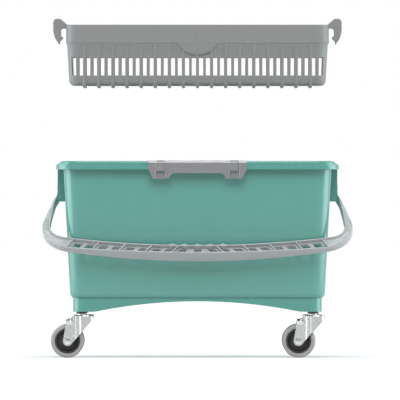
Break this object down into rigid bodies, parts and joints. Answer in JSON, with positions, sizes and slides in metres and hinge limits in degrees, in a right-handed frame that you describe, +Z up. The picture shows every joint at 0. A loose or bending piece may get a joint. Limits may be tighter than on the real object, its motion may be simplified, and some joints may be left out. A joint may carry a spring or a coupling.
{
  "type": "mop bucket with strainer basket",
  "caption": "Rectangular wheeled mop bucket with a lift-out slotted wringing basket, a swinging bail handle, a clip on the rim and swivel castors.",
  "frame": {"origin": "on the floor, under the middle of the tub", "axes": "+X along the length, to the right seen from the front; -Y to the front, where the clip is and the bail hangs; +Z up"},
  "size_m": [0.4642, 0.2262, 0.5091],
  "materials": {
    "teal_plastic": "injection-moulded polypropylene, satin",
    "grey_plastic": "moulded polypropylene, fine matt",
    "light_grey_plastic": "moulded polypropylene, satin",
    "black_plastic": "moulded polypropylene, satin",
    "zinc_steel": "pressed steel, bright zinc plated",
    "grey_rubber": "non-marking thermoplastic rubber"
  },
  "bodies": {
    "bucket": {"bucket_tub": "teal_plastic", "rim_clip": "grey_plastic", "castor_socket_front_left": "black_plastic", "castor_stem_front_left": "zinc_steel", "castor_socket_front_right": "black_plastic", "castor_stem_front_right": "zinc_steel", "castor_socket_rear_left": "black_plastic", "castor_stem_rear_left": "zinc_steel", "castor_socket_rear_right": "black_plastic", "castor_stem_rear_right": "zinc_steel"},
    "handle": {"carry_handle": "light_grey_plastic"},
    "basket": {"strainer_basket": "grey_plastic"},
    "castor_front_left": {"castor_fork_front_left": "zinc_steel", "castor_axle_front_left": "zinc_steel", "castor_balls_front_left": "zinc_steel"},
    "wheel_front_left": {"wheel_tread_front_left": "grey_rubber", "wheel_core_front_left": "black_plastic", "wheel_bush_front_left": "zinc_steel"},
    "castor_front_right": {"castor_fork_front_right": "zinc_steel", "castor_axle_front_right": "zinc_steel", "castor_balls_front_right": "zinc_steel"},
    "wheel_front_right": {"wheel_tread_front_right": "grey_rubber", "wheel_core_front_right": "black_plastic", "wheel_bush_front_right": "zinc_steel"},
    "castor_rear_left": {"castor_fork_rear_left": "zinc_steel", "castor_axle_rear_left": "zinc_steel", "castor_balls_rear_left": "zinc_steel"},
    "wheel_rear_left": {"wheel_tread_rear_left": "grey_rubber", "wheel_core_rear_left": "black_plastic", "wheel_bush_rear_left": "zinc_steel"},
    "castor_rear_right": {"castor_fork_rear_right": "zinc_steel", "castor_axle_rear_right": "zinc_steel", "castor_balls_rear_right": "zinc_steel"},
    "wheel_rear_right": {"wheel_tread_rear_right": "grey_rubber", "wheel_core_rear_right": "black_plastic", "wheel_bush_rear_right": "zinc_steel"}
  },
  "joints": [
    {"name": "basket_lift", "type": "slide", "parent": "bucket", "child": "basket", "axis": [0, 0, 1], "range_m": [-0.19995, 0]},
    {"name": "handle_swing", "type": "hinge", "parent": "bucket", "child": "handle", "pos_m": [0, 0, 0.2505], "axis": [-1, 0, 0], "range_deg": [0, 258]},
    {"name": "swivel_front_left", "type": "hinge", "parent": "bucket", "child": "castor_front_left", "pos_m": [-0.17396, -0.06496, 0], "axis": [0, 0, 1], "continuous": true},
    {"name": "roll_front_left", "type": "hinge", "parent": "castor_front_left", "child": "wheel_front_left", "pos_m": [-0.19563, -0.06609, 0.025], "axis": [0.0523, -0.9986, 0], "continuous": true},
    {"name": "swivel_front_right", "type": "hinge", "parent": "bucket", "child": "castor_front_right", "pos_m": [0.17396, -0.06496, 0], "axis": [0, 0, 1], "continuous": true},
    {"name": "roll_front_right", "type": "hinge", "parent": "castor_front_right", "child": "wheel_front_right", "pos_m": [0.15229, -0.06382, 0.025], "axis": [-0.0523, -0.9986, 0], "continuous": true},
    {"name": "swivel_rear_left", "type": "hinge", "parent": "bucket", "child": "castor_rear_left", "pos_m": [-0.17396, 0.06496, 0], "axis": [0, 0, 1], "continuous": true},
    {"name": "roll_rear_left", "type": "hinge", "parent": "castor_rear_left", "child": "wheel_rear_left", "pos_m": [-0.19565, 0.0642, 0.025], "axis": [0.0349, -0.9994, 0], "continuous": true},
    {"name": "swivel_rear_right", "type": "hinge", "parent": "bucket", "child": "castor_rear_right", "pos_m": [0.17396, 0.06496, 0], "axis": [0, 0, 1], "continuous": true},
    {"name": "roll_rear_right", "type": "hinge", "parent": "castor_rear_right", "child": "wheel_rear_right", "pos_m": [0.15227, 0.06571, 0.025], "axis": [-0.0349, -0.9994, 0], "continuous": true}
  ]
}
